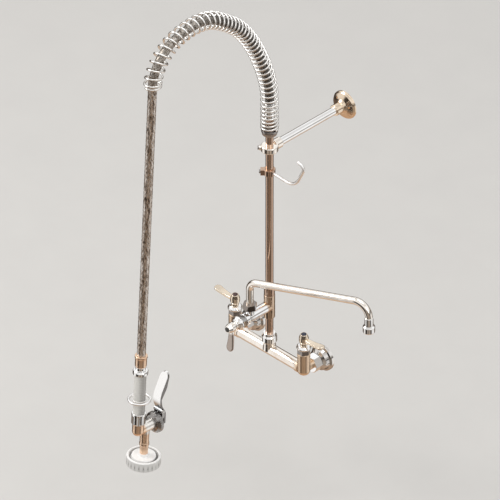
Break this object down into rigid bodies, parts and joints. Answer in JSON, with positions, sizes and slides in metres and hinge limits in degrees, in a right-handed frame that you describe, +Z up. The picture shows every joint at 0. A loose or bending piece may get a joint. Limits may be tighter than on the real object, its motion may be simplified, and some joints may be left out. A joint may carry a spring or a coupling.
{
  "type": "pre-rinse faucet",
  "caption": "Wall-mounted pre-rinse faucet: mixing body, riser with overhead spring and hose, squeeze-lever spray valve, swing nozzle, finger hook and wall bracket.",
  "frame": {"origin": "midway between the two inlets on the wall plane, at the height of the mixing body's centreline", "axes": "+X along the mixing body towards the cold side, +Y into the wall, +Z up"},
  "size_m": [0.4736, 0.6325, 1.0543],
  "materials": {
    "chrome": "polished chrome plate on brass",
    "steel_wire": "bright stainless steel",
    "steel_hose": "rubber hose with a woven bright steel outer",
    "grey_plastic": "light grey insulating plastic with shallow rings",
    "white_rubber": "off-white rubber",
    "black_rubber": "black sealing rubber",
    "brass": "bare machined brass",
    "index_plastic": "dark moulded plastic",
    "copper_bronze": "bright coppery brass"
  },
  "bodies": {
    "faucet": {"base_body": "chrome", "hot_wall_flange": "chrome", "cold_wall_flange": "chrome", "coupling_nuts": "chrome", "inlet_washers": "black_rubber", "valve_cartridges": "brass", "valve_collars": "chrome", "outlet_nut": "chrome", "lower_riser": "chrome", "addon_body": "chrome", "riser_collar": "chrome", "riser_tube": "chrome", "spring_seat": "chrome", "hose_fitting": "chrome", "nozzle_nut": "chrome", "bracket_eye": "chrome", "bracket_rod": "chrome", "bracket_flange": "chrome", "hook_clamp": "chrome", "hook_wire": "steel_wire", "set_screws": "steel_wire", "overhead_spring": "steel_wire", "hose_upper": "steel_hose", "hot_bonnet": "chrome", "cold_bonnet": "chrome", "addon_bonnet": "chrome"},
    "hot_lever": {"hot_handle": "chrome", "hot_stem": "brass", "hot_handle_screw": "steel_wire", "hot_button": "index_plastic"},
    "cold_lever": {"cold_handle": "chrome", "cold_stem": "brass", "cold_handle_screw": "steel_wire", "cold_button": "index_plastic"},
    "addon_lever": {"addon_handle": "chrome", "addon_stem": "brass", "addon_handle_screw": "steel_wire", "addon_button": "index_plastic"},
    "nozzle": {"nozzle_tube": "chrome", "nozzle_seal": "black_rubber", "nozzle_tip": "chrome", "tip_screen": "steel_wire"},
    "hanging_hose": {"hose_lower": "steel_hose", "hose_ferrule": "copper_bronze", "swivel_ring": "chrome"},
    "spray_valve": {"grip_tube": "chrome", "grip_sleeve": "grey_plastic", "fluted_nut": "chrome", "spray_body": "copper_bronze", "spray_bonnet": "chrome", "yoke": "chrome", "lever_pin": "steel_wire", "spray_head": "chrome", "bumper": "white_rubber", "face_plate": "steel_wire"},
    "squeeze_lever": {"lever": "chrome"},
    "plunger_group": {"plunger": "brass", "plunger_spring": "steel_wire"},
    "hold_down_ring": {"hold_ring": "steel_wire"}
  },
  "joints": [
    {"name": "hot_handle_turn", "type": "hinge", "parent": "faucet", "child": "hot_lever", "pos_m": [-0.1016, -0.06, 0.07], "axis": [0, 0, 1], "range_deg": [0, 90]},
    {"name": "cold_handle_turn", "type": "hinge", "parent": "faucet", "child": "cold_lever", "pos_m": [0.1016, -0.06, 0.07], "axis": [0, 0, 1], "range_deg": [-90, 0]},
    {"name": "addon_handle_turn", "type": "hinge", "parent": "faucet", "child": "addon_lever", "pos_m": [0, -0.16, 0.111], "axis": [0, -1, 0], "range_deg": [0, 90]},
    {"name": "nozzle_swing", "type": "hinge", "parent": "faucet", "child": "nozzle", "pos_m": [0, -0.118, 0.14], "axis": [0, 0, 1], "range_deg": [-90, 60]},
    {"name": "hose_swing", "type": "hinge", "parent": "faucet", "child": "hanging_hose", "pos_m": [0, -0.3997, 0.8335], "axis": [1, 0, 0], "range_deg": [-20, 10], "stiffness_Nm_per_rad": 2, "springref_deg": -14.32, "deforming": ["overhead_spring", "hose_upper", "hose_lower"]},
    {"name": "spray_swivel", "type": "hinge", "parent": "hanging_hose", "child": "spray_valve", "pos_m": [0, -0.43904, 0.1298], "axis": [0, 0.0558, 0.9984], "continuous": true},
    {"name": "lever_squeeze", "type": "hinge", "parent": "spray_valve", "child": "squeeze_lever", "pos_m": [0, -0.38475, 0.00808], "axis": [1, 0, 0], "range_deg": [0, 16], "stiffness_Nm_per_rad": 0.8, "springref_deg": -11.46},
    {"name": "plunger_slide", "type": "slide", "parent": "spray_valve", "child": "plunger_group", "axis": [0, 0.9984, -0.0558], "range_m": [0, 0.009], "deforming": ["plunger_spring"]},
    {"name": "hold_ring_slide", "type": "slide", "parent": "spray_valve", "child": "hold_down_ring", "axis": [0, 0.0558, 0.9984], "range_m": [-0.027, 0.05]}
  ],
  "couplings": [
    {"joint": "plunger_slide", "follows": "lever_squeeze", "m_per_rad": 0.032}
  ]
}
